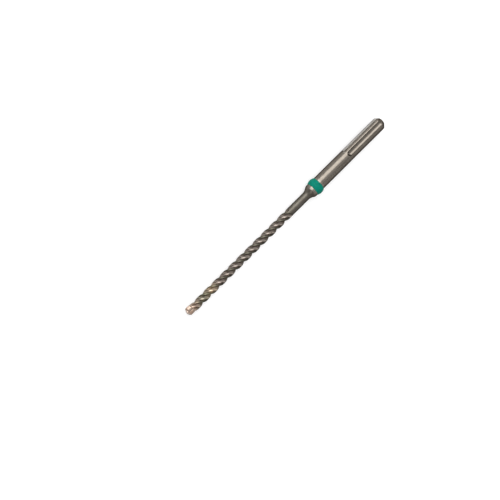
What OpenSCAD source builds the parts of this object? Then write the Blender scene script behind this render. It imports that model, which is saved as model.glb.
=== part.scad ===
// Hammer drill bit with a slotted 18 mm shank and a three-winged carbide head.
// The bit lies along X: the striking face is at x = 0 and the point at x = total_l.
// It lies as it comes to rest, on the marking ring and on the lands near the head.
// Angles round the bit run from +Y towards +Z.

/* [Overall] */
// Length from the striking face to the point
total_l = 350; // [335:1:420]

/* [Shank] */
// Diameter of the shank
shank_d = 18; // [17.4:0.1:18.6]
// Length of the full diameter, up to the round shoulder
shank_l = 128.4; // [126.5:0.1:135]
// Diameter of the flat striking face
face_d = 9; // [7:0.1:11]
// Radius between the end bevel and the shank
bevel_round_r = 3; // [1:0.5:5]

/* [Locking grooves] */
// Radius of the ball cutter that makes a closed groove
lock_cutter_r = 4.5; // [4:0.1:5]
// Depth of a closed groove
lock_depth = 2.8; // [1.5:0.1:3]
// Cutter centre at the end near the striking face
lock_start_x = 5.9; // [5:0.1:12]
// Cutter centre at the far end
lock_end_x = 60.1; // [40:0.1:64]

/* [Drive splines] */
// Width of an open spline
spline_w = 5; // [4:0.1:5.5]
// Depth of an open spline
spline_depth = 2.8; // [1.5:0.1:3]
// Length of an open spline from the striking face
spline_l = 65.5; // [40:0.5:70]
// Angle between the two splines that lie side by side
spline_pair_angle = 60; // [52:1:70]

/* [Marking ring] */
// Width of the ring along the bit
ring_w = 10.8; // [8:0.2:14]
// Length of the full diameter between the ring and the shoulder
collar_l = 2.5; // [1:0.1:10]
// Height of the ring's crown over the shank
ring_proud = 1.9; // [1.7:0.1:3]
// Height of the crown over the ring's edges
ring_crown_h = 1.6; // [0.4:0.1:1.6]
// Depth of the shank's seat for the ring
ring_seat_depth = 0.4; // [0.2:0.1:0.8]
// Radial play between the ring and its seat
ring_play = 0.05; // [0.02:0.01:0.1]

/* [Neck] */
// Diameter of the plain neck
neck_d = 11.1; // [10.4:0.1:12]
// Radius of the round shoulder at the end of the shank
shoulder_r = 5; // [2:0.5:8]
// Radius of the hollow flare from the shoulder down to the neck
flare_r = 12; // [8:0.5:16]

/* [Flutes] */
// Length from the point to the end of the flutes
fluted_l = 184; // [140:1:185]
// Diameter over the lands
land_d = 11.3; // [10.6:0.1:12]
// Diameter of the core between the flutes
core_d = 5.2; // [4.8:0.1:6]
// Radius of a flute's round hollow
flute_r = 6; // [5.2:0.1:6.6]
// Length of one turn of a flute
flute_lead = 43.9; // [36:0.1:60]
// Length over which the flutes run out into the neck
run_out_l = 7; // [4:0.5:14]

/* [Head] */
// Length of the straight head from the point
head_l = 9.5; // [8:0.1:12]
// Diameter over the head's lands
head_d = 11.8; // [11.3:0.1:12]
// Diameter of the head's core, which is stouter to hold the insert
head_core_d = 7; // [6.4:0.1:7.4]
// Length over which the core narrows behind the head
core_taper_l = 6; // [3:0.5:10]
// Depth of the head's steel end under the point
head_end_depth = 3; // [2.6:0.1:4]
// Bevel round the head's steel end
head_bevel = 0.9; // [0.4:0.1:1.5]

/* [Carbide insert] */
// Cutting diameter over the three wings
insert_d = 12.3; // [12:0.1:13]
// Thickness of a wing
insert_t = 2.8; // [2:0.1:3.2]
// Height from the seat to the point
insert_h = 7.5; // [6:0.1:8]
// Angle of the point between opposite cutting edges
point_angle = 136; // [120:1:150]
// Fall of the roof on each side of a cutting edge
roof_angle = 38; // [25:1:45]
// Brazed gap on each side of a wing
braze_gap = 0.05; // [0.02:0.01:0.1]

/* [Hidden] */
$fn = 96;

// Angle of the first wing, which points straight up
wing_angle = 90;
// Angle of the first closed groove; the second one is opposite
lock_angle = 112;
// Angle of the single spline; the pair lies on the other side
spline_single_angle = 22;
// Number of flutes, lands and wings
flutes = 3;
pitch_angle = 360 / flutes;

shank_r = shank_d / 2;
face_r = face_d / 2;
neck_r = neck_d / 2;
ring_r = shank_r + ring_proud;
land_r = land_d / 2;
head_r = head_d / 2;
core_r = core_d / 2;
head_core_r = head_core_d / 2;
insert_r = insert_d / 2;

bevel_angle = 45;
bevel_l = (shank_r - face_r) / tan(bevel_angle);
bevel_tangent = bevel_round_r * tan(bevel_angle / 2);
flare_h = shank_r - neck_r;
flare_angle = acos(1 - flare_h / (shoulder_r + flare_r));
flare_l = (shoulder_r + flare_r) * sin(flare_angle);
seat_r = shank_r - ring_seat_depth;
seat_end_x = shank_l - collar_l;
seat_start_x = seat_end_x - ring_w;
crown_r = (ring_crown_h ^ 2 + (ring_w / 2) ^ 2) / (2 * ring_crown_h);

// Depth that a cut reaches past the surface it starts from
overcut = 1;
// Depth left in the flutes where they meet the neck
flute_end_depth = 0.1;
// Step down from the neck to the end of the fluted part, which is sunk in it
neck_step = 0.05;
// Length of the fluted part inside the neck
neck_sink = 0.75;
flute_end_r = neck_r - neck_step;
flute_rise = flute_end_r - core_r - flute_end_depth;
rise_r = (run_out_l ^ 2 + flute_rise ^ 2) / (2 * flute_rise);

// Distance between the sections of the fluted part
section_step = 1.5;
// Parts of a section's outline in one flute and on one land
flute_steps = 8;
land_steps = 3;
// Parts of each round stretch in a turned or milled outline
bevel_steps = 4;
shoulder_steps = 6;
flare_steps = 6;
ball_steps = 9;
mill_steps = 10;
crown_steps = 12;

insert_seat_x = total_l - insert_h;
edge_fall = 90 - point_angle / 2;

// Points on an arc, both ends included
function arc(centre, r, from, to, steps) = [
    for (i = [0 : steps])
        let (a = from + (to - from) * i / steps)
        centre + r * [cos(a), sin(a)]
];

// How far a point at depth d under the point lies inside the run-out
function run_out(d) = max(0, d - (fluted_l - run_out_l));

// Radius over the lands: wide at the head, and just inside the neck at the run-out
function section_r(d) =
    d <= head_l ? head_r :
    d < head_l + section_step ? head_r + (land_r - head_r) * (d - head_l) / section_step :
    land_r + (flute_end_r - land_r) * min(1, run_out(d) / run_out_l);

// Radius of the core at depth d, before the run-out
function section_core_r(d) =
    let (k = min(1, max(0, d - head_l) / core_taper_l))
    head_core_r + (core_r - head_core_r) * k ^ 2 * (3 - 2 * k);

// Distance from the bit's axis to the middle of a flute's round hollow
function flute_axis_r(d) =
    let (s = min(run_out_l, run_out(d)))
    section_core_r(d) + flute_r + rise_r - sqrt(rise_r ^ 2 - s ^ 2);

// Angle of the first flute: straight in the head, then a right-hand helix
function flute_angle(d) =
    wing_angle + pitch_angle / 2 - 360 * max(0, d - head_l) / flute_lead;

// Outline of one flute and the land after it, with the flute on the first axis
function tooth(r, e) =
    let (
        sweep = acos((e ^ 2 + flute_r ^ 2 - r ^ 2) / (2 * e * flute_r)),
        edge = acos((e ^ 2 + r ^ 2 - flute_r ^ 2) / (2 * e * r)),
        land = arc([0, 0], r, edge, pitch_angle - edge, land_steps)
    )
    concat(
        arc([e, 0], flute_r, 180 + sweep, 180 - sweep, flute_steps),
        [for (i = [1 : land_steps - 1]) land[i]]
    );

// One whole section at depth d under the point, drawn smaller by scale
function section(d, scale = 1) =
    let (t = tooth(section_r(d), flute_axis_r(d)))
    [
        for (k = [0 : flutes - 1], p = t)
            let (a = flute_angle(d) + k * pitch_angle)
            [
                total_l - d,
                scale * (p[0] * cos(a) - p[1] * sin(a)),
                scale * (p[0] * sin(a) + p[1] * cos(a))
            ]
    ];

// Lofts a solid through equal sections that follow each other along the bit.
// Each end is closed by a fan of triangles round a point on the bit's axis.
module loft(sections) {
    n = len(sections[0]);
    last = len(sections) - 1;
    start_hub = len(sections) * n;
    end_hub = start_hub + 1;
    hubs = [[sections[0][0][0], 0, 0], [sections[last][0][0], 0, 0]];
    sides = [
        for (i = [0 : last - 1], j = [0 : n - 1])
            let (a = i * n + j, b = i * n + (j + 1) % n)
            each [[a, b, b + n], [a, b + n, a + n]]
    ];
    caps = [
        for (j = [0 : n - 1])
            let (k = (j + 1) % n)
            each [[k, j, start_hub], [last * n + j, last * n + k, end_hub]]
    ];
    polyhedron(points = concat([for (s = sections) each s], hubs), faces = concat(sides, caps));
}

// Turns a profile of (x, radius) points round the bit's axis
module turned(profile) {
    rotate([0, 90, 0])
        rotate_extrude()
            polygon([for (p = profile) [p[1], p[0]]]);
}

// The twisted shaft with its three flutes and the bevelled head
module fluted_shaft() {
    full_d = head_end_depth + head_bevel;
    bevel_scale = (head_r - head_bevel) / head_r;
    twisted = [for (d = [head_l : section_step : fluted_l - section_step / 2]) d];
    loft(concat(
        [section(head_end_depth, bevel_scale), section(full_d)],
        [for (d = twisted) section(d)],
        [section(fluted_l)]
    ));
}

// Shank, ring seat, shoulder, flare and neck, turned in one
module turned_blank() {
    bevel_axis = [bevel_l + bevel_tangent, shank_r - bevel_round_r];
    shoulder_axis = [shank_l, shank_r - shoulder_r];
    flare_axis = [shank_l + flare_l, neck_r + flare_r];
    flare = arc(flare_axis, flare_r, 270 - flare_angle, 270, flare_steps);
    turned(concat(
        [[0, 0], [0, face_r]],
        arc(bevel_axis, bevel_round_r, 90 + bevel_angle, 90, bevel_steps),
        [[seat_start_x, shank_r], [seat_start_x, seat_r], [seat_end_x, seat_r]],
        [[seat_end_x, shank_r]],
        arc(shoulder_axis, shoulder_r, 90, 90 - flare_angle, shoulder_steps),
        [for (i = [1 : flare_steps]) flare[i]],
        [[total_l - fluted_l + neck_sink, neck_r], [total_l - fluted_l + neck_sink, 0]]
    ));
}

// The space that the ball cutter clears for one closed groove, on the +Y side
module lock_cut() {
    translate([0, shank_r - lock_depth + lock_cutter_r, 0])
        turned(concat(
            arc([lock_start_x, 0], lock_cutter_r, 180, 90, ball_steps),
            arc([lock_end_x, 0], lock_cutter_r, 90, 0, ball_steps)
        ));
}

// The space that an end mill clears for one open spline, on the +Y side
module spline_cut() {
    end_r = spline_w / 2;
    translate([0, shank_r - spline_depth, 0])
        rotate([-90, 0, 0])
            linear_extrude(spline_depth + overcut)
                polygon(concat(
                    [[-overcut, end_r], [-overcut, -end_r]],
                    arc([spline_l - end_r, 0], end_r, -90, 90, mill_steps)
                ));
}

// The slot for one wing of the insert, on the +Y side
module wing_slot() {
    slot_w = insert_t + 2 * braze_gap;
    translate([insert_seat_x, 0, -slot_w / 2])
        cube([insert_h, insert_r + overcut, slot_w]);
}

// One wing of the insert on the +Y side: a block under a roof that falls from the point
module wing() {
    reach = insert_r + overcut;
    eaves_w = insert_h * tan(90 - roof_angle);
    block_depth = insert_h + reach;
    intersection() {
        translate([insert_seat_x, 0, -insert_t / 2])
            cube([insert_h, reach, insert_t]);
        translate([total_l, 0, 0])
            rotate([-90, 0, edge_fall])
                translate([0, 0, -overcut])
                    linear_extrude(overcut + block_depth)
                        polygon([
                            [0, 0],
                            [-insert_h, eaves_w],
                            [-block_depth, eaves_w],
                            [-block_depth, -eaves_w],
                            [-insert_h, -eaves_w]
                        ]);
    }
}

module drill_body() {
    color([0.55, 0.51, 0.46])
        difference() {
            union() {
                turned_blank();
                fluted_shaft();
            }
            for (a = [lock_angle, lock_angle + 180])
                rotate([a, 0, 0]) lock_cut();
            for (a = [0, 180 - spline_pair_angle / 2, 180 + spline_pair_angle / 2])
                rotate([spline_single_angle + a, 0, 0]) spline_cut();
            for (k = [0 : flutes - 1])
                rotate([wing_angle + k * pitch_angle, 0, 0]) wing_slot();
        }
}

module carbide_insert() {
    color([0.72, 0.58, 0.52])
        intersection() {
            union() {
                for (k = [0 : flutes - 1])
                    rotate([wing_angle + k * pitch_angle, 0, 0]) wing();
            }
            translate([insert_seat_x, 0, 0])
                rotate([0, 90, 0])
                    cylinder(h = insert_h, r = insert_r);
        }
}

module marking_ring() {
    inner_r = seat_r + ring_play;
    crown_x = (seat_start_x + seat_end_x) / 2;
    half_sweep = asin(ring_w / 2 / crown_r);
    color([0, 0.5, 0.38])
        turned(concat(
            arc([crown_x, ring_r - crown_r], crown_r, 90 + half_sweep, 90 - half_sweep, crown_steps),
            [[seat_end_x, inner_r], [seat_start_x, inner_r]]
        ));
}

drill_body();
carbide_insert();
marking_ring();
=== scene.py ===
from math import acos, atan2, cos, degrees, pi, radians, sin, sqrt, tan

import bmesh
import bpy
from mathutils import Matrix, Vector


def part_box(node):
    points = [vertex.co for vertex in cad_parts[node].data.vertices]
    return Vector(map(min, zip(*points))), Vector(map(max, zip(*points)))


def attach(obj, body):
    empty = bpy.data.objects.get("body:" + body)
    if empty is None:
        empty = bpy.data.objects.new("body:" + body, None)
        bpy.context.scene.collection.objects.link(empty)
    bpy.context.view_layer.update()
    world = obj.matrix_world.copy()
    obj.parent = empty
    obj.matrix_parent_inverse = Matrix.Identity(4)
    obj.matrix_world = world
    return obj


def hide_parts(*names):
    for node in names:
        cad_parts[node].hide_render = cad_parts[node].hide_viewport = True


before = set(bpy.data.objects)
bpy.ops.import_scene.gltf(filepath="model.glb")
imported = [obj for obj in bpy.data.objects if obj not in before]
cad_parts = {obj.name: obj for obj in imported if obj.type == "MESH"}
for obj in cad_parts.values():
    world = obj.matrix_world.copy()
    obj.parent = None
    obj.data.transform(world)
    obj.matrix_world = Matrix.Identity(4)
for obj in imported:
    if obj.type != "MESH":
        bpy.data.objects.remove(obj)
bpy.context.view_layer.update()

# A hammer drill bit that lies along X, with its striking face at x = 0 and its point on +X.
# Angles round the bit run from +Y towards +Z, in degrees. Depths are measured back from the point.
# Sizes are in millimetres, apart from the studio's, which are in metres.
MM = 0.001

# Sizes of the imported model
insert_low, insert_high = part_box("carbide_insert")
ring_low, ring_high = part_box("marking_ring")
TOTAL_L = insert_high.x / MM
SEAT_X = insert_low.x / MM
RING_START = ring_low.x / MM
RING_END = ring_high.x / MM
RING_MIDDLE = (RING_START + RING_END) / 2
RING_R = ring_high.z / MM

# Shank
SHANK_R = 9.0
SHANK_L = 128.4
FACE_R = 4.5
FACE_ROUND = 0.35
BEVEL_ANGLE = 45
BEVEL_ROUND = 3.0
SEAT_R = 8.6
SEAT_BREAK_L = 0.15
SEAT_BREAK_H = 0.12
NECK_R = 5.55
SHOULDER_R = 5.0
FLARE_R = 12.0
# Closed locking grooves
LOCK_CUTTER_R = 4.5
LOCK_DEPTH = 2.8
LOCK_SPAN = (5.9, 60.1)
LOCK_ANGLES = (112, 292)
# Open drive splines
SPLINE_W = 5.0
SPLINE_DEPTH = 2.8
SPLINE_L = 65.5
SPLINE_ANGLES = (22, 172, 232)
# Flutes
FLUTES = 3
PITCH_ANGLE = 360 / FLUTES
FLUTED_L = 184.0
LAND_R = 5.65
CORE_R = 2.6
FLUTE_R = 6.0
FLUTE_LEAD = 43.9
RUN_OUT_L = 7.0
RUN_OUT_END_DEPTH = 0.02
# Round on a flute's edges: a share of the flute's depth, up to a limit
EDGE_ROUND_SHARE = 0.12
EDGE_ROUND_LIMIT = 0.35
# Head and insert
HEAD_L = 9.5
HEAD_R = 5.9
HEAD_TAPER_L = 1.5
HEAD_CORE_R = 3.5
CORE_TAPER_L = 6.0
HEAD_END = 3.0
HEAD_BEVEL = 0.9
WING_ANGLE = 90
INSERT_R = 6.15
INSERT_T = 2.8
POINT_ANGLE = 136
ROOF_ANGLE = 38
BRAZE_GAP = 0.05
# Braze fillets: their width on the steel, how deep they reach into the gap, and where they start
FILLET = 0.16
FILLET_SINK = 0.3
FILLET_START_R = 1.4
# Marking ring
RING_BORE_R = 8.65
RING_SIDE_R = 9.3
RIM_ROUND = 0.4

# Depths at which the lofted shank, shaft and head meet
SHAFT_START = FLUTED_L + 5
HEAD_JOINT = HEAD_L + 4

# Spacing of lofted sections, and steps of the curves
SHANK_STEP = 4.0
NECK_STEP = 1.6
FLUTE_STEP = 0.6
HEAD_STEP = 1.0
HOLLOW_STEPS = 22
LAND_STEPS = 10
ROUND_STEPS = 2
FACE_STEPS = 3
BEVEL_STEPS = 8
SHOULDER_STEPS = 10
FLARE_STEPS = 14
BALL_STEPS = 14
BALL_AROUND = 64
MILL_STEPS = 20
WING_STEPS = 6
CROWN_STEPS = 28
RIM_STEPS = 4
RING_AROUND = 144

# How far a cutter passes the steel, and how far stock stands ahead of the point
OVERCUT = 2.0
STOCK_AHEAD = 1.0
# How far past a stretch of the bit its edges are looked for
EDGE_MARGIN = 1.0
# A ball cutter's ends stop this angle short of its axis
BALL_CAP_ANGLE = 2
# Faces that meet at more than this angle are shaded with an edge between them
SHADED_EDGE_ANGLE = 32
# Points this close to a section lie on it, and edges this short go before others are rounded
ON_SECTION = 0.0001
SLIVER = 0.02


def arc(centre, r, start, end, steps):
    """Points on an arc from angle start to angle end."""
    angles = [radians(start + (end - start) * i / steps) for i in range(steps + 1)]
    return [(centre[0] + r * cos(a), centre[1] + r * sin(a)) for a in angles]


def rounded(before, corner, after, r, steps):
    """A corner as a short curve that starts r before it and ends r after it."""
    before, corner, after = Vector(before), Vector(corner), Vector(after)
    a = corner + (before - corner).normalized() * r
    b = corner + (after - corner).normalized() * r
    mixes = [i / steps for i in range(steps + 1)]
    return [tuple(a * (1 - t) ** 2 + corner * 2 * t * (1 - t) + b * t * t) for t in mixes]


def spaced(start, end, step):
    """Numbers from start to end in equal steps of about step."""
    count = max(1, round(abs(end - start) / step))
    return [start + (end - start) * i / count for i in range(count + 1)]


def loft(sections, start_cap=True, end_cap=True):
    """A skin through sections, which are equal lists of (x, y, z)."""
    bm = bmesh.new()
    rings = [[bm.verts.new(Vector(p) * MM) for p in section] for section in sections]
    for low, high in zip(rings, rings[1:]):
        for j in range(len(low)):
            k = (j + 1) % len(low)
            bm.faces.new((low[j], low[k], high[k], high[j]))
    if start_cap:
        bm.faces.new(list(reversed(rings[0])))
    if end_cap:
        bm.faces.new(rings[-1])
    return bm


def turned(profile, around):
    """The sections of a profile of (x, radius) points that is turned round the bit's axis."""
    angles = [2 * pi * j / around for j in range(around)]
    return [[(x, r * cos(a), r * sin(a)) for a in angles] for x, r in profile]


def swung(bm, angle):
    """The skin, swung round the bit's axis to an angle."""
    bm.transform(Matrix.Rotation(radians(angle), 4, "X"))
    return bm


def mesh_object(name, bm):
    """The skin as an object in the scene, with outward faces and smooth shading."""
    mesh = bpy.data.meshes.new(name)
    bmesh.ops.recalc_face_normals(bm, faces=bm.faces)
    for face in bm.faces:
        face.smooth = True
    bm.to_mesh(mesh)
    bm.free()
    mesh.set_sharp_from_angle(angle=radians(SHADED_EDGE_ANGLE))
    piece = bpy.data.objects.new(name, mesh)
    bpy.context.scene.collection.objects.link(piece)
    return piece


def combined(blank, tools, operation):
    """The blank with every tool cut from it or joined to it. All of them are skins."""
    first = mesh_object("blank", blank)
    others = [mesh_object("tool", tool) for tool in tools]
    for other in others:
        step = first.modifiers.new("step", "BOOLEAN")
        step.operation = operation
        step.solver = "EXACT"
        step.object = other
    result = bmesh.new()
    result.from_object(first, bpy.context.evaluated_depsgraph_get())
    for piece in (first, *others):
        mesh = piece.data
        bpy.data.objects.remove(piece)
        bpy.data.meshes.remove(mesh)
    return result


def gathered(skins):
    """Several skins as one, side by side."""
    whole = bmesh.new()
    for skin in skins:
        mesh = bpy.data.meshes.new("skin")
        skin.to_mesh(mesh)
        skin.free()
        whole.from_mesh(mesh)
        bpy.data.meshes.remove(mesh)
    return whole


def weld(bm, gap):
    """Joins points that lie closer than gap."""
    bmesh.ops.remove_doubles(bm, verts=bm.verts, dist=gap * MM)


def open_end(bm, x):
    """Takes away the cap that closes a skin at x."""
    cap = [f for f in bm.faces if all(abs(v.co.x - x * MM) < ON_SECTION * MM for v in f.verts)]
    bmesh.ops.delete(bm, geom=cap, context="FACES")


def soften_edges(bm, start_x, end_x, width, sharp):
    """Rounds the edges between start_x and end_x that turn by more than sharp degrees."""
    bmesh.ops.dissolve_degenerate(bm, dist=SLIVER * MM, edges=bm.edges)
    edges = [
        e for e in bm.edges
        if len(e.link_faces) == 2 and e.calc_face_angle(0) > radians(sharp)
        and all(start_x * MM < v.co.x < end_x * MM for v in e.verts)
    ]
    bmesh.ops.bevel(
        bm, geom=edges, offset=width * MM, segments=2, profile=0.6, affect="EDGES", clamp_overlap=False
    )


# Steel bit

def run_out(d):
    """How far depth d lies inside the flutes' run-out."""
    return min(RUN_OUT_L, max(0.0, d - (FLUTED_L - RUN_OUT_L)))


def land_radius(d):
    """Radius over the lands at depth d: wide at the head, and down to the neck in the run-out."""
    if d <= HEAD_L:
        return HEAD_R
    if d < HEAD_L + HEAD_TAPER_L:
        return HEAD_R + (LAND_R - HEAD_R) * (d - HEAD_L) / HEAD_TAPER_L
    return LAND_R + (NECK_R - LAND_R) * run_out(d) / RUN_OUT_L


def core_radius(d):
    """Radius of the core at depth d: stout in the head to hold the insert, slimmer up the flutes."""
    k = min(1.0, max(0.0, d - HEAD_L) / CORE_TAPER_L)
    return HEAD_CORE_R + (CORE_R - HEAD_CORE_R) * k * k * (3 - 2 * k)


def flute_axis(d):
    """Distance at depth d from the bit's axis to the middle of a flute's round hollow."""
    rise = NECK_R - CORE_R - RUN_OUT_END_DEPTH
    rise_r = (RUN_OUT_L ** 2 + rise ** 2) / (2 * rise)
    return core_radius(d) + FLUTE_R + rise_r - sqrt(rise_r ** 2 - run_out(d) ** 2)


def flute_angle(d):
    """Angle of the first flute at depth d: straight in the head, then a right-hand helix."""
    twist = 360 * max(0.0, min(d, FLUTED_L) - HEAD_L) / FLUTE_LEAD
    return WING_ANGLE + PITCH_ANGLE / 2 - twist


def tooth(land_r, axis_r):
    """One flute and the land after it, with a small round on both edges of the flute."""
    sweep = degrees(acos((axis_r ** 2 + FLUTE_R ** 2 - land_r ** 2) / (2 * axis_r * FLUTE_R)))
    edge = degrees(acos((axis_r ** 2 + land_r ** 2 - FLUTE_R ** 2) / (2 * axis_r * land_r)))
    hollow = arc((axis_r, 0), FLUTE_R, 180 + sweep, 180 - sweep, HOLLOW_STEPS)
    land = arc((0, 0), land_r, edge, PITCH_ANGLE - edge, LAND_STEPS)
    last_land = arc((0, 0), land_r, edge - PITCH_ANGLE, -edge, LAND_STEPS)
    round_r = min(EDGE_ROUND_LIMIT, (land_r + FLUTE_R - axis_r) * EDGE_ROUND_SHARE)
    start = rounded(last_land[-2], hollow[0], hollow[1], round_r, ROUND_STEPS)
    end = rounded(hollow[-2], hollow[-1], land[1], round_r, ROUND_STEPS)
    return start + hollow[1:-1] + end + land[1:-1]


def section(d, scale=1.0):
    """The steel's outline at depth d."""
    outline = tooth(land_radius(d), flute_axis(d))
    points = []
    for k in range(FLUTES):
        turn = Matrix.Rotation(radians(flute_angle(d) + k * PITCH_ANGLE), 2)
        points += [turn @ Vector(p) * scale for p in outline]
    return [(TOTAL_L - d, y, z) for y, z in points]


def neck_ring(x, r, mix):
    """A circle whose points slide from even spacing at mix 0 to the flutes' spacing at mix 1."""
    outline = tooth(land_radius(SHAFT_START), flute_axis(SHAFT_START))
    middle = HOLLOW_STEPS / 2 + ROUND_STEPS
    points = []
    for k in range(FLUTES):
        for j, (y, z) in enumerate(outline):
            even = PITCH_ANGLE * (j - middle) / len(outline)
            a = even + (degrees(atan2(z, y)) - even) * mix
            a = radians(a + flute_angle(SHAFT_START) + k * PITCH_ANGLE)
            points.append((x, r * cos(a), r * sin(a)))
    return points


def shank_profile():
    """The turned outline of shank, ring seat, shoulder and flare as (x, radius) points."""
    bevel_l = (SHANK_R - FACE_R) / tan(radians(BEVEL_ANGLE))
    tangent = BEVEL_ROUND * tan(radians(BEVEL_ANGLE / 2))
    sweep = acos(1 - (SHANK_R - NECK_R) / (SHOULDER_R + FLARE_R))
    flare_l = (SHOULDER_R + FLARE_R) * sin(sweep)
    sweep = degrees(sweep)
    face_edge = rounded((0, FACE_R - 1), (0, FACE_R), (1, FACE_R + 1), FACE_ROUND, FACE_STEPS)
    bevel_centre = (bevel_l + tangent, SHANK_R - BEVEL_ROUND)
    bevel = arc(bevel_centre, BEVEL_ROUND, 90 + BEVEL_ANGLE, 90, BEVEL_STEPS)
    body = [(x, SHANK_R) for x in spaced(bevel[-1][0], RING_START - SEAT_BREAK_L, SHANK_STEP)]
    seat = [
        (RING_START - SEAT_BREAK_L, SHANK_R), (RING_START, SHANK_R - SEAT_BREAK_H),
        (RING_START, SEAT_R), (RING_END, SEAT_R),
        (RING_END, SHANK_R - SEAT_BREAK_H), (RING_END + SEAT_BREAK_L, SHANK_R),
    ]
    shoulder = arc((SHANK_L, SHANK_R - SHOULDER_R), SHOULDER_R, 90, 90 - sweep, SHOULDER_STEPS)
    flare = arc((SHANK_L + flare_l, NECK_R + FLARE_R), FLARE_R, 270 - sweep, 270, FLARE_STEPS)
    return face_edge + bevel + body[1:-1] + seat + shoulder + flare[1:]


def shank_blank():
    """Shank and neck before milling, with a last section that meets the shaft's first one."""
    rings = [neck_ring(x, r, 0) for x, r in shank_profile()]
    neck = spaced(rings[-1][0][0], TOTAL_L - SHAFT_START, NECK_STEP)
    rings += [neck_ring(x, NECK_R, i / len(neck)) for i, x in enumerate(neck[1:-1], 1)]
    return loft(rings + [section(SHAFT_START)])


def groove_cutter(angle):
    """The space of one closed locking groove, as a ball cutter clears it."""
    start, end = LOCK_SPAN
    profile = arc((start, 0), LOCK_CUTTER_R, 180 - BALL_CAP_ANGLE, 90, BALL_STEPS)
    profile += arc((end, 0), LOCK_CUTTER_R, 90, BALL_CAP_ANGLE, BALL_STEPS)
    bm = loft(turned(profile, BALL_AROUND))
    bm.transform(Matrix.Translation((0, (SHANK_R - LOCK_DEPTH + LOCK_CUTTER_R) * MM, 0)))
    return swung(bm, angle)


def spline_cutter(angle):
    """The space of one open drive spline, as an end mill clears it."""
    half = SPLINE_W / 2
    plan = [(-OVERCUT, half), (-OVERCUT, -half)]
    plan += arc((SPLINE_L - half, 0), half, -90, 90, MILL_STEPS)
    levels = (SHANK_R - SPLINE_DEPTH, SHANK_R + OVERCUT)
    return swung(loft([[(x, y, z) for x, z in plan] for y in levels]), angle)


def slot_cutter(angle):
    """The space of one wing's slot in the head."""
    half = INSERT_T / 2 + BRAZE_GAP
    reach = INSERT_R + OVERCUT
    plan = [(0, -half), (reach, -half), (reach, half), (0, half)]
    ends = (SEAT_X, TOTAL_L + STOCK_AHEAD)
    return swung(loft([[(x, y, z) for y, z in plan] for x in ends]), angle)


def wing_angles():
    return [WING_ANGLE + k * PITCH_ANGLE for k in range(FLUTES)]


def milled_shank():
    """Shank and neck with their grooves and splines, open towards the shaft."""
    cutters = [groove_cutter(a) for a in LOCK_ANGLES] + [spline_cutter(a) for a in SPLINE_ANGLES]
    shank = combined(shank_blank(), cutters, "DIFFERENCE")
    open_end(shank, TOTAL_L - SHAFT_START)
    soften_edges(shank, -EDGE_MARGIN, SPLINE_L + EDGE_MARGIN, width=0.14, sharp=28)
    return shank


def fluted_shaft():
    """The twisted flutes between neck and head, open at both ends."""
    depths = spaced(SHAFT_START, FLUTED_L - RUN_OUT_L, FLUTE_STEP)
    depths += spaced(FLUTED_L - RUN_OUT_L, HEAD_JOINT, FLUTE_STEP)[1:]
    return loft([section(d) for d in depths], False, False)


def slotted_head():
    """The head with its bevelled end and the wings' slots, open towards the shaft."""
    bevel_scale = (HEAD_R - HEAD_BEVEL) / HEAD_R
    depths = spaced(HEAD_JOINT, HEAD_L, FLUTE_STEP)
    depths += spaced(HEAD_L, HEAD_END + HEAD_BEVEL, HEAD_STEP)[1:]
    blank = loft([section(d) for d in depths] + [section(HEAD_END, bevel_scale)])
    head = combined(blank, [slot_cutter(a) for a in wing_angles()], "DIFFERENCE")
    open_end(head, TOTAL_L - HEAD_JOINT)
    soften_edges(head, TOTAL_L - HEAD_L, TOTAL_L, width=0.07, sharp=40)
    return head


def steel_body():
    """Shank, flutes and slotted head as one closed skin."""
    whole = gathered([milled_shank(), fluted_shaft(), slotted_head()])
    weld(whole, gap=0.004)
    return mesh_object("steel_body", whole)


# Insert, braze and ring

def wing(angle):
    """One wing of the insert: a slab under a roof that falls from the point."""
    half = INSERT_T / 2
    corner = degrees(atan2(half, INSERT_R))
    plan = [(0, -half)] + arc((0, 0), INSERT_R, -corner, corner, WING_STEPS) + [(0, half)]
    bm = loft([[(x, y, z) for y, z in plan] for x in (SEAT_X, TOTAL_L + STOCK_AHEAD)])
    fall, roof = radians(90 - POINT_ANGLE / 2), radians(ROOF_ANGLE)
    for side in (-1, 1):
        bmesh.ops.bisect_plane(
            bm, geom=bm.verts[:] + bm.edges[:] + bm.faces[:],
            plane_co=(TOTAL_L * MM, 0, 0),
            plane_no=(cos(fall) * cos(roof), sin(fall) * cos(roof), side * sin(roof)),
            clear_outer=True,
        )
        bmesh.ops.holes_fill(bm, edges=[e for e in bm.edges if e.is_boundary])
    return swung(bm, angle)


def carbide_insert():
    """The three wings in one, with eased edges."""
    first, *others = [wing(a) for a in wing_angles()]
    bm = combined(first, others, "UNION")
    soften_edges(bm, SEAT_X - EDGE_MARGIN, TOTAL_L + EDGE_MARGIN, width=0.07, sharp=25)
    return mesh_object("insert_tip", bm)


def fillet_strip(angle, side):
    """The copper fillet on one side of a wing, over the head's end and down its land."""
    face_x = TOTAL_L - HEAD_END
    wall = side * INSERT_T / 2
    # Each stop: place, radius, and how much the fillet stands outwards and forwards there
    path = [
        (face_x, FILLET_START_R, 0, 1), (face_x, HEAD_R - HEAD_BEVEL, 0, 1),
        (face_x - HEAD_BEVEL, HEAD_R, 0.7, 0.7), (SEAT_X, HEAD_R, 1, 0),
    ]
    # Its outline: height over the steel and distance from the wing, from the foot to the root
    outline = [
        (0, BRAZE_GAP + FILLET), (FILLET * 0.3, FILLET * 0.4), (FILLET, 0), (-FILLET_SINK, 0),
    ]
    sections = [
        [(x + forward * h, r + out * h, wall + side * off) for h, off in outline]
        for x, r, out, forward in path
    ]
    strip = swung(loft(sections), angle)
    bmesh.ops.recalc_face_normals(strip, faces=strip.faces)
    return strip


def braze():
    """The fillets along both sides of every wing."""
    strips = [fillet_strip(angle, side) for angle in wing_angles() for side in (-1, 1)]
    return mesh_object("braze_fillets", gathered(strips))


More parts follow.
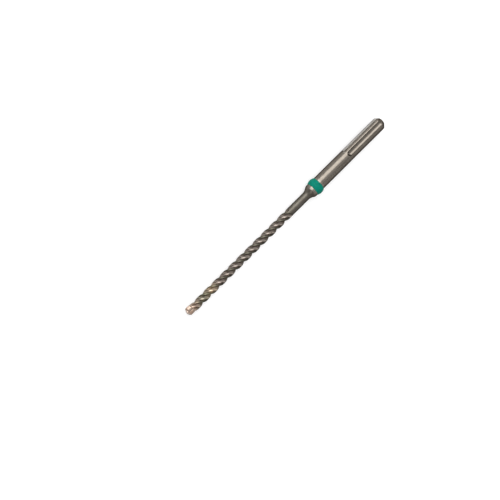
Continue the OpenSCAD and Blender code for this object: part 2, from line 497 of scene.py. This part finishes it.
def marking_ring():
    """The moulded ring, with a crowned face and softened rims."""
    half_w = (RING_END - RING_START) / 2
    rise = RING_R - RING_SIDE_R
    crown_r = (rise ** 2 + half_w ** 2) / (2 * rise)
    half_sweep = degrees(atan2(half_w, crown_r - rise))
    crown_centre = (RING_MIDDLE, RING_R - crown_r)
    crown = arc(crown_centre, crown_r, 90 + half_sweep, 90 - half_sweep, CROWN_STEPS)
    bore_start, bore_end = (RING_START, RING_BORE_R), (RING_END, RING_BORE_R)
    first_rim = rounded(bore_start, crown[0], crown[1], RIM_ROUND, RIM_STEPS)
    last_rim = rounded(crown[-2], crown[-1], bore_end, RIM_ROUND, RIM_STEPS)
    profile = [bore_start] + first_rim + crown[1:-1] + last_rim + [bore_end]
    sections = turned(profile, RING_AROUND)
    bm = loft(sections + sections[:1], False, False)
    weld(bm, gap=0.001)
    return mesh_object("colour_ring", bm)


# Shader nodes

def node(tree, kind, inputs=None, **settings):
    """Adds a shader node. An input is given a value, or the socket that feeds it."""
    item = tree.nodes.new("ShaderNode" + kind)
    for name, value in settings.items():
        setattr(item, name, value)
    for name, value in (inputs or {}).items():
        feed(tree, item.inputs[name], value)
    return item


def feed(tree, socket, value):
    """Gives an input its value, or links it to the socket that feeds it."""
    if isinstance(value, bpy.types.NodeSocket):
        tree.links.new(value, socket)
    else:
        socket.default_value = value


def calc(tree, operation, *values):
    """One sum on up to three numbers or sockets."""
    return node(tree, "Math", dict(enumerate(values)), operation=operation).outputs[0]


def between(tree, mix, low, high):
    """A number that goes from low to high as mix goes from 0 to 1."""
    return node(tree, "Mix", {0: mix, 2: low, 3: high}, data_type="FLOAT").outputs[0]


def opaque(colour):
    """A colour with its alpha. A socket stays as it is."""
    return colour if isinstance(colour, bpy.types.NodeSocket) else (*colour, 1.0)


def blend(tree, colour_a, colour_b, mix, way="MIX"):
    """Two colours mixed, each given as (red, green, blue) or as the socket that feeds it."""
    inputs = {0: mix, 6: opaque(colour_a), 7: opaque(colour_b)}
    return node(tree, "Mix", inputs, data_type="RGBA", blend_type=way).outputs[2]


def spread(tree, value, low, high):
    """A value that runs from low to high, brought to the range from 0 to 1."""
    inputs = {0: value, 1: low, 2: high, 3: 0.0, 4: 1.0}
    return node(tree, "MapRange", inputs, interpolation_type="SMOOTHSTEP").outputs[0]


def ramp(tree, value, stops):
    """Colours that follow a value. Each stop is a value and its colour."""
    item = node(tree, "ValToRGB", {0: value})
    elements = item.color_ramp.elements
    while len(elements) < len(stops):
        elements.new(1.0)
    for element, (position, colour) in zip(elements, stops):
        element.position = position
        element.color = opaque(colour)
    return item.outputs[0]


def own_place(tree):
    """A point's place on the piece itself."""
    return node(tree, "TexCoord").outputs["Object"]


def along_axes(tree, place):
    """The x, y and z of a place."""
    return node(tree, "SeparateXYZ", {0: place}).outputs[:3]


def spun(tree, place, angle):
    """A place turned round the bit's axis by an angle in radians."""
    inputs = {"Vector": place, "Angle": angle}
    return node(tree, "VectorRotate", inputs, rotation_type="X_AXIS").outputs[0]


def noise(tree, place, size, detail, roughness):
    """Uneven values in patches of about size millimetres."""
    scale = calc(tree, "DIVIDE", 1 / MM, size)
    inputs = {"Vector": place, "Scale": scale, "Detail": detail, "Roughness": roughness}
    return node(tree, "TexNoise", inputs).outputs[0]


# Effects that the finishes share

def effect(name, inputs, outputs):
    """A shader node group with its sockets, and the tree's own input and output nodes."""
    tree = bpy.data.node_groups.new(name, "ShaderNodeTree")
    for socket, (kind, value) in inputs.items():
        item = tree.interface.new_socket(socket, in_out="INPUT", socket_type="NodeSocket" + kind)
        if value is not None:
            item.default_value = value
    for socket, kind in outputs.items():
        tree.interface.new_socket(socket, in_out="OUTPUT", socket_type="NodeSocket" + kind)
    given = tree.nodes.new("NodeGroupInput").outputs
    return tree, given, tree.nodes.new("NodeGroupOutput").inputs


def use(tree, name, **inputs):
    """Puts an effect in a tree with its own values, and returns its outputs."""
    item = tree.nodes.new("ShaderNodeGroup")
    item.node_tree = bpy.data.node_groups[name]
    for socket, value in inputs.items():
        feed(tree, item.inputs[socket.capitalize()], value)
    return item.outputs


def place_on_bit():
    """Where a point lies: its depth, its radius, and its place on the bit with the twist undone."""
    outputs = {"Depth": "Float", "Radius": "Float", "Untwisted": "Vector"}
    tree, _, out = effect("place_on_bit", {}, outputs)
    place = own_place(tree)
    x, y, z = along_axes(tree, place)
    depth = calc(tree, "MULTIPLY_ADD", x, -1 / MM, TOTAL_L)
    across = node(tree, "CombineXYZ", {1: y, 2: z}).outputs[0]
    radius = node(tree, "VectorMath", {0: across}, operation="LENGTH").outputs["Value"]
    twisted = calc(tree, "MAXIMUM", calc(tree, "SUBTRACT", depth, HEAD_L), 0.0)
    twist = calc(tree, "MULTIPLY", twisted, 2 * pi / FLUTE_LEAD)
    tree.links.new(depth, out["Depth"])
    tree.links.new(calc(tree, "MULTIPLY", radius, 1 / MM), out["Radius"])
    tree.links.new(spun(tree, place, twist), out["Untwisted"])


def spline_walls():
    """1 on the milled walls of the open splines, 0 elsewhere."""
    wall_band = 0.12
    tree, _, out = effect("spline_walls", {}, {"Mask": "Float"})
    place = own_place(tree)
    x = along_axes(tree, place)[0]
    half_depth = SPLINE_DEPTH / 2
    walls = 0.0
    for angle in SPLINE_ANGLES:
        _, y, z = along_axes(tree, spun(tree, place, radians(-angle)))
        off_middle = calc(tree, "ABSOLUTE", z)
        beside = calc(tree, "COMPARE", off_middle, SPLINE_W / 2 * MM, wall_band * MM)
        above_floor = calc(tree, "COMPARE", y, (SHANK_R - half_depth) * MM, half_depth * MM)
        walls = calc(tree, "ADD", walls, calc(tree, "MULTIPLY", beside, above_floor))
    before_end = calc(tree, "LESS_THAN", x, SPLINE_L * MM)
    tree.links.new(calc(tree, "MULTIPLY", walls, before_end), out["Mask"])


def clouding():
    """Uneven patches, from 0 to 1. The higher the softness, the slower one passes into the next."""
    middle, reach = 0.5, 0.35
    inputs = {"Place": ("Vector", None), "Size": ("Float", 5.0), "Softness": ("Float", 0.5)}
    tree, given, out = effect("clouding", inputs, {"Mask": "Float"})
    patches = noise(tree, given["Place"], given["Size"], detail=4.0, roughness=0.6)
    low = calc(tree, "MULTIPLY_ADD", given["Softness"], -reach, middle)
    high = calc(tree, "SUBTRACT", 1.0, low)
    tree.links.new(spread(tree, patches, low, high), out["Mask"])


def tool_marks():
    """Fine lines left by a tool, from 0 to 1. Stretch sets how finely they change along each axis."""
    even = (1.0, 1.0, 1.0)
    inputs = {"Place": ("Vector", None), "Stretch": ("Vector", even), "Size": ("Float", 0.5)}
    tree, given, out = effect("tool_marks", inputs, {"Lines": "Float"})
    drawn = node(tree, "VectorMath", {0: given["Place"], 1: given["Stretch"]}, operation="MULTIPLY")
    lines = noise(tree, drawn.outputs[0], given["Size"], detail=3.0, roughness=0.55)
    tree.links.new(lines, out["Lines"])


def worn_edges():
    """Wear where an edge sticks out, which on the steel is also a painted highlight. It starts at low, is
    full at high, and has the given strength.
    """
    inputs = {"Low": ("Float", 0.52), "High": ("Float", 0.60), "Strength": ("Float", 0.5)}
    tree, given, out = effect("worn_edges", inputs, {"Mask": "Float"})
    edge = node(tree, "NewGeometry").outputs["Pointiness"]
    wear = spread(tree, edge, given["Low"], given["High"])
    tree.links.new(calc(tree, "MULTIPLY", wear, given["Strength"]), out["Mask"])


# Finishes

# A black tint at grazing angles, which gives bare metal its dark outline
GRAZING_TINT = (0.0, 0.0, 0.0, 1.0)

# Steel: the heat tints from the point up the flutes, each at its share of the tinted length
TINTED_L = 80.0
TINT_WAVER = 7.0
HEAT_TINTS = [
    (0.00, (0.32, 0.256, 0.212)), (0.18, (0.37, 0.285, 0.232)), (0.27, (0.27, 0.235, 0.19)),
    (0.37, (0.245, 0.235, 0.185)), (0.55, (0.43, 0.35, 0.26)), (0.68, (0.24, 0.204, 0.182)),
    (1.00, (0.225, 0.198, 0.176)),
]
NECK_STEEL = (0.110, 0.101, 0.086)
SHANK_STEEL = (0.158, 0.141, 0.122)
# Painted highlight: the spline walls are a lighter grey with little metal, so that they look lit
WALL_PAINTED_HIGHLIGHT = (0.50, 0.48, 0.45)
WALL_METALLIC = 0.15
# Lighter edges: partly wear, partly a painted highlight along the crests of the lands
BARE_EDGE_AND_HIGHLIGHT = (0.62, 0.56, 0.48)
# Shades darken the colour under them
# Painted shade: the lands behind the head are darkened as if they lay in shade
LAND_PAINTED_SHADE = (0.28, 0.30, 0.26)
STREAK_SHADE = (0.80, 0.76, 0.74)
PATCH_SHADE = (0.86, 0.845, 0.83)
SPECK_SHADE = (0.70, 0.68, 0.64)
LAND_PAINTED_SHADE_STRENGTH = 0.9
SPECK_STRENGTH = 0.25
# Where one steel passes into the next: radii in the flutes, then depths up the bit
LAND_TO_HOLLOW = (5.6, 5.3)
HEAD_TO_LANDS = (HEAD_L, HEAD_L + 12)
FLUTES_TO_NECK = (FLUTED_L - 4, FLUTED_L)
NECK_TO_SHANK = (216.0, 223.0)
# How rough the steel is, and what lands, handling and specks add
HOLLOW_ROUGH = 0.22
NECK_ROUGH = 0.36
SHANK_ROUGH = 0.20
LAND_EXTRA_ROUGH = 0.10
HANDLING_EXTRA_ROUGH = 0.10
SPECK_EXTRA_ROUGH = 0.05
# Heights of the steel's relief
LINE_H = 0.003
PIT_H = 0.001

# Carbide: its stain starts and is full at these heights over the seat
CARBIDE = (0.46, 0.38, 0.335)
STAINED_CARBIDE = (0.35, 0.255, 0.20)
CARBIDE_EDGE = (0.80, 0.72, 0.66)
CARBIDE_SHADE = (0.80, 0.77, 0.74)
STAIN_START_H = 6.5
STAIN_FULL_H = 4.5
STAIN_WAVER = 1.5
CARBIDE_ROUGH = (0.24, 0.44)
GRINDING_H = 0.01

# Braze, plastic and floor paint
COPPER = (0.72, 0.40, 0.24)
DULL_COPPER = (0.40, 0.24, 0.16)
COPPER_ROUGH = (0.25, 0.45)
FLOW_H = 0.03
TEAL = (0.002, 0.18, 0.128)
DEEP_TEAL = (0.002, 0.13, 0.092)
SCUFFED_TEAL = (0.003, 0.21, 0.15)
WORN_TEAL = (0.01, 0.27, 0.20)
SCUFF_RANGE = (0.55, 0.75)
SCUFF_STRENGTH = 0.5
PLASTIC_ROUGH = (0.36, 0.48)
SCUFF_H = 0.01
MOULD_GRAIN_H = 0.02
FLOOR_PAINT = (0.60, 0.60, 0.60)
FLOOR_CLOUD = (0.59, 0.59, 0.59)
PAINT_ROUGH = (0.85, 0.90)
FLOOR_LIFT = 0.45


def new_finish(name, constants):
    """A material with its Principled shader, whose plain settings are the given constants."""
    material = bpy.data.materials.new(name)
    material.use_nodes = True
    shader = material.node_tree.nodes["Principled BSDF"]
    for socket, value in constants.items():
        shader.inputs[socket].default_value = value
    return material, material.node_tree, shader.inputs


def relief(tree, height_mm, normal_input):
    """Feeds a shader's normal from a height in millimetres."""
    bump = node(tree, "Bump", {"Height": height_mm, "Distance": MM, "Strength": 1.0})
    tree.links.new(bump.outputs[0], normal_input)


def heat_tinted_steel():
    """Turned and milled steel that brazing has coloured from the head up the flutes."""
    material, tree, shader = new_finish("heat_tinted_steel", {"Specular Tint": GRAZING_TINT})
    place = own_place(tree)
    spot = use(tree, "place_on_bit")
    depth, radius, untwisted = spot["Depth"], spot["Radius"], spot["Untwisted"]
    patches = use(tree, "clouding", place=untwisted, size=9.0, softness=0.6)["Mask"]
    specks = use(tree, "clouding", place=place, size=1.1, softness=0.8)["Mask"]
    streaks = use(tree, "tool_marks", place=untwisted, stretch=(0.06, 1.0, 1.0), size=0.7)["Lines"]
    turning = use(tree, "tool_marks", place=place, stretch=(1.0, 0.08, 0.08), size=0.35)["Lines"]
    handling = use(tree, "tool_marks", place=place, stretch=(0.05, 1.0, 1.0), size=0.5)["Lines"]
    wear = use(tree, "worn_edges", low=0.52, high=0.60, strength=0.5)["Mask"]
    walls = use(tree, "spline_walls")["Mask"]

    in_hollow = spread(tree, radius, *LAND_TO_HOLLOW)
    behind_head = calc(tree, "MULTIPLY", spread(tree, depth, *HEAD_TO_LANDS), LAND_PAINTED_SHADE_STRENGTH)
    on_land = calc(tree, "MULTIPLY", calc(tree, "SUBTRACT", 1.0, in_hollow), behind_head)
    on_neck = spread(tree, depth, *FLUTES_TO_NECK)
    on_shank = spread(tree, depth, *NECK_TO_SHANK)
    has_edges = calc(tree, "ADD", calc(tree, "SUBTRACT", 1.0, on_neck), on_shank)

    start = calc(tree, "SUBTRACT", depth, TINT_WAVER / 2)
    uneven = calc(tree, "MULTIPLY_ADD", patches, TINT_WAVER, start)
    tint = ramp(tree, calc(tree, "DIVIDE", uneven, TINTED_L), HEAT_TINTS)
    # Painted shade on the lands
    tint = blend(tree, tint, LAND_PAINTED_SHADE, on_land, "MULTIPLY")
    tint = blend(tree, tint, STREAK_SHADE, calc(tree, "MULTIPLY", streaks, in_hollow), "MULTIPLY")
    tint = blend(tree, tint, NECK_STEEL, on_neck)
    tint = blend(tree, tint, SHANK_STEEL, on_shank)
    tint = blend(tree, tint, PATCH_SHADE, patches, "MULTIPLY")
    faint_specks = calc(tree, "MULTIPLY", specks, SPECK_STRENGTH)
    tint = blend(tree, tint, SPECK_SHADE, faint_specks, "MULTIPLY")
    # Edges lightened by wear and by a painted highlight along the crests
    tint = blend(tree, tint, BARE_EDGE_AND_HIGHLIGHT, calc(tree, "MULTIPLY", wear, has_edges))
    # Painted highlight on the spline walls, which are made lighter and nearly non-metallic
    tree.links.new(blend(tree, tint, WALL_PAINTED_HIGHLIGHT, walls), shader["Base Color"])
    tree.links.new(between(tree, walls, 1.0, WALL_METALLIC), shader["Metallic"])

    ground = calc(tree, "MULTIPLY_ADD", on_land, LAND_EXTRA_ROUGH, HOLLOW_ROUGH)
    ground = between(tree, on_neck, ground, NECK_ROUGH)
    ground = between(tree, on_shank, ground, SHANK_ROUGH)
    ground = calc(tree, "MULTIPLY_ADD", specks, SPECK_EXTRA_ROUGH, ground)
    ground = calc(tree, "MULTIPLY_ADD", handling, HANDLING_EXTRA_ROUGH, ground)
    tree.links.new(ground, shader["Roughness"])

    lines = between(tree, on_shank, streaks, turning)
    pits = calc(tree, "MULTIPLY", specks, PIT_H)
    relief(tree, calc(tree, "MULTIPLY_ADD", lines, LINE_H, pits), shader["Normal"])
    return material


def ground_carbide():
    """Ground carbide, stained by the braze at its foot."""
    constants = {"Metallic": 1.0, "Specular Tint": GRAZING_TINT}
    material, tree, shader = new_finish("ground_carbide", constants)
    place = own_place(tree)
    patches = use(tree, "clouding", place=place, size=1.5, softness=0.6)["Mask"]
    grinding = use(tree, "tool_marks", place=place, stretch=(0.2, 1.0, 1.0), size=0.25)["Lines"]
    wear = use(tree, "worn_edges", low=0.53, high=0.62, strength=0.4)["Mask"]

    uneven = calc(tree, "MULTIPLY_ADD", patches, STAIN_WAVER * MM, along_axes(tree, place)[0])
    stain = spread(tree, uneven, (SEAT_X + STAIN_START_H) * MM, (SEAT_X + STAIN_FULL_H) * MM)
    colour = blend(tree, CARBIDE, STAINED_CARBIDE, stain)
    colour = blend(tree, colour, CARBIDE_SHADE, patches, "MULTIPLY")
    tree.links.new(blend(tree, colour, CARBIDE_EDGE, wear), shader["Base Color"])
    tree.links.new(between(tree, grinding, *CARBIDE_ROUGH), shader["Roughness"])
    relief(tree, calc(tree, "MULTIPLY", grinding, GRINDING_H), shader["Normal"])
    return material


def copper_braze():
    """Braze that flowed and cooled, part dulled."""
    material, tree, shader = new_finish("copper_braze", {"Metallic": 1.0})
    patches = use(tree, "clouding", place=own_place(tree), size=0.8, softness=0.7)["Mask"]
    tree.links.new(blend(tree, COPPER, DULL_COPPER, patches), shader["Base Color"])
    tree.links.new(between(tree, patches, *COPPER_ROUGH), shader["Roughness"])
    relief(tree, calc(tree, "MULTIPLY", patches, FLOW_H), shader["Normal"])
    return material


def moulded_teal_plastic():
    """Half-matt plastic with cloudy pigment, scuffed paler on its rims."""
    material, tree, shader = new_finish("moulded_teal_plastic", {"Specular IOR Level": 0.04})
    place = own_place(tree)
    patches = use(tree, "clouding", place=place, size=3.5, softness=0.7)["Mask"]
    grain = use(tree, "clouding", place=place, size=0.6, softness=0.4)["Mask"]
    scuffs = use(tree, "tool_marks", place=place, stretch=(0.5, 1.0, 1.0), size=0.5)["Lines"]
    wear = use(tree, "worn_edges", low=0.52, high=0.58, strength=0.3)["Mask"]

    scuffed = calc(tree, "MULTIPLY", spread(tree, scuffs, *SCUFF_RANGE), SCUFF_STRENGTH)
    colour = blend(tree, TEAL, DEEP_TEAL, patches)
    colour = blend(tree, colour, SCUFFED_TEAL, scuffed)
    tree.links.new(blend(tree, colour, WORN_TEAL, wear), shader["Base Color"])
    tree.links.new(between(tree, patches, *PLASTIC_ROUGH), shader["Roughness"])
    scratches = calc(tree, "MULTIPLY", scuffs, SCUFF_H)
    relief(tree, calc(tree, "MULTIPLY_ADD", grain, MOULD_GRAIN_H, scratches), shader["Normal"])
    return material


def pale_floor_paint():
    """Matt white paint. Seen directly or mirrored it is lifted a little, so that it reads as white."""
    constants = {"Specular IOR Level": 0.0, "Emission Color": (1.0, 1.0, 1.0, 1.0)}
    material, tree, shader = new_finish("pale_floor_paint", constants)
    patches = use(tree, "clouding", place=own_place(tree), size=400.0, softness=0.2)["Mask"]
    tree.links.new(blend(tree, FLOOR_PAINT, FLOOR_CLOUD, patches), shader["Base Color"])
    tree.links.new(between(tree, patches, *PAINT_ROUGH), shader["Roughness"])
    rays = node(tree, "LightPath").outputs
    seen = calc(tree, "ADD", rays["Is Camera Ray"], rays["Is Glossy Ray"])
    seen = calc(tree, "MINIMUM", calc(tree, "ADD", seen, rays["Is Transmission Ray"]), 1.0)
    tree.links.new(calc(tree, "MULTIPLY", seen, FLOOR_LIFT), shader["Emission Strength"])
    return material


# Studio

FLOOR_SIZE = 8.0
# Where the helix of the lands first meets the floor behind the head, in millimetres
LAND_CONTACT_X = 335.0
WORLD_GREY = 0.37
# Each softbox: direction from the bit, distance, length, height and radiance
SOFTBOXES = {
    "key_softbox": ((-0.17, -0.80, 0.57), 1.5, 1.3, 1.4, 4.5),
    "fill_softbox": ((-0.17, -0.09, 0.98), 1.8, 1.4, 1.4, 0.95),
    "rim_softbox": ((0.0, 0.77, 0.64), 1.5, 1.3, 1.3, 0.75),
    "head_end_softbox": ((0.80, -0.10, 0.60), 1.5, 0.9, 0.9, 1.8),
    "shank_end_softbox": ((-0.80, 0.10, 0.60), 1.5, 0.9, 0.9, 1.8),
}

# The photograph's view, with angles in degrees
VIEW_FIELD = 14
VIEW_TILT = 9
VIEW_ROUND = 119
VIEW_ROLL = 224.775
VIEW_DISTANCE = 2.5575
# Where the bit's middle lies in the square picture, in pixels
PICTURE_PX = 500
MIDDLE_PX = (285.406, 216.447)


def studio_floor(paint):
    """A pale floor that the ring and the lands rest on."""
    lean = atan2(RING_R - LAND_R, LAND_CONTACT_X - RING_MIDDLE)
    bm = bmesh.new()
    bmesh.ops.create_grid(bm, x_segments=2, y_segments=2, size=FLOOR_SIZE / 2)
    bm.transform(Matrix.Rotation(-lean, 4, "Y"))
    bm.transform(Matrix.Translation((RING_MIDDLE * MM, 0, -RING_R * MM)))
    floor = mesh_object("studio_floor", bm)
    floor.data.materials.append(paint)


def bit_middle():
    return Vector((TOTAL_L / 2 * MM, 0, 0))


def softbox(name, direction, distance, length, height, radiance):
    """A rectangular lamp that faces the bit's middle."""
    lamp = bpy.data.lights.new(name, "AREA")
    lamp.shape = "RECTANGLE"
    lamp.size = length
    lamp.size_y = height
    lamp.energy = radiance * pi * length * height
    item = bpy.data.objects.new(name, lamp)
    item.location = bit_middle() + Vector(direction).normalized() * distance
    item.rotation_euler = Vector(direction).to_track_quat("Z", "Y").to_euler()
    bpy.context.scene.collection.objects.link(item)


def world_light():
    """Even grey light from all sides."""
    world = bpy.data.worlds.new("studio_world")
    world.use_nodes = True
    background = world.node_tree.nodes["Background"].inputs
    background["Color"].default_value = (WORLD_GREY, WORLD_GREY, WORLD_GREY, 1.0)
    bpy.context.scene.world = world


def photo_camera():
    """A long lens that looks down on the lying bit, which runs from the lower left to the upper right."""
    tilt, around, roll = radians(VIEW_TILT), radians(VIEW_ROUND), radians(VIEW_ROLL)
    back = Vector((sin(tilt), cos(tilt) * cos(around), cos(tilt) * sin(around)))
    along = (Vector((1, 0, 0)) - back * back.x).normalized()
    right = along * cos(roll) - back.cross(along) * sin(roll)
    up = back.cross(right)
    px = 2 * tan(radians(VIEW_FIELD / 2)) * VIEW_DISTANCE / PICTURE_PX
    across, down = MIDDLE_PX[0] - PICTURE_PX / 2, MIDDLE_PX[1] - PICTURE_PX / 2
    eye = bit_middle() - right * across * px + up * down * px + back * VIEW_DISTANCE
    camera = bpy.data.cameras.new("photo_camera")
    camera.angle = radians(VIEW_FIELD)
    item = bpy.data.objects.new("photo_camera", camera)
    turn = Matrix((right, up, back)).transposed().to_4x4()
    item.matrix_world = Matrix.Translation(eye) @ turn
    bpy.context.scene.collection.objects.link(item)
    bpy.context.scene.camera = item


# The bit in its studio

def fit(piece, finish, node_name=None):
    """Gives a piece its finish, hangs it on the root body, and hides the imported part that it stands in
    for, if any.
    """
    piece.data.materials.clear()
    piece.data.materials.append(finish)
    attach(piece, "root")
    if node_name:
        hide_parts(node_name)


def build():
    for shared_effect in (place_on_bit, spline_walls, clouding, tool_marks, worn_edges):
        shared_effect()
    fit(steel_body(), heat_tinted_steel(), "drill_body")
    fit(carbide_insert(), ground_carbide(), "carbide_insert")
    fit(braze(), copper_braze())
    fit(marking_ring(), moulded_teal_plastic(), "marking_ring")
    studio_floor(pale_floor_paint())
    for name, values in SOFTBOXES.items():
        softbox(name, *values)
    world_light()
    photo_camera()
    bpy.context.scene.view_settings.view_transform = "Standard"


build()
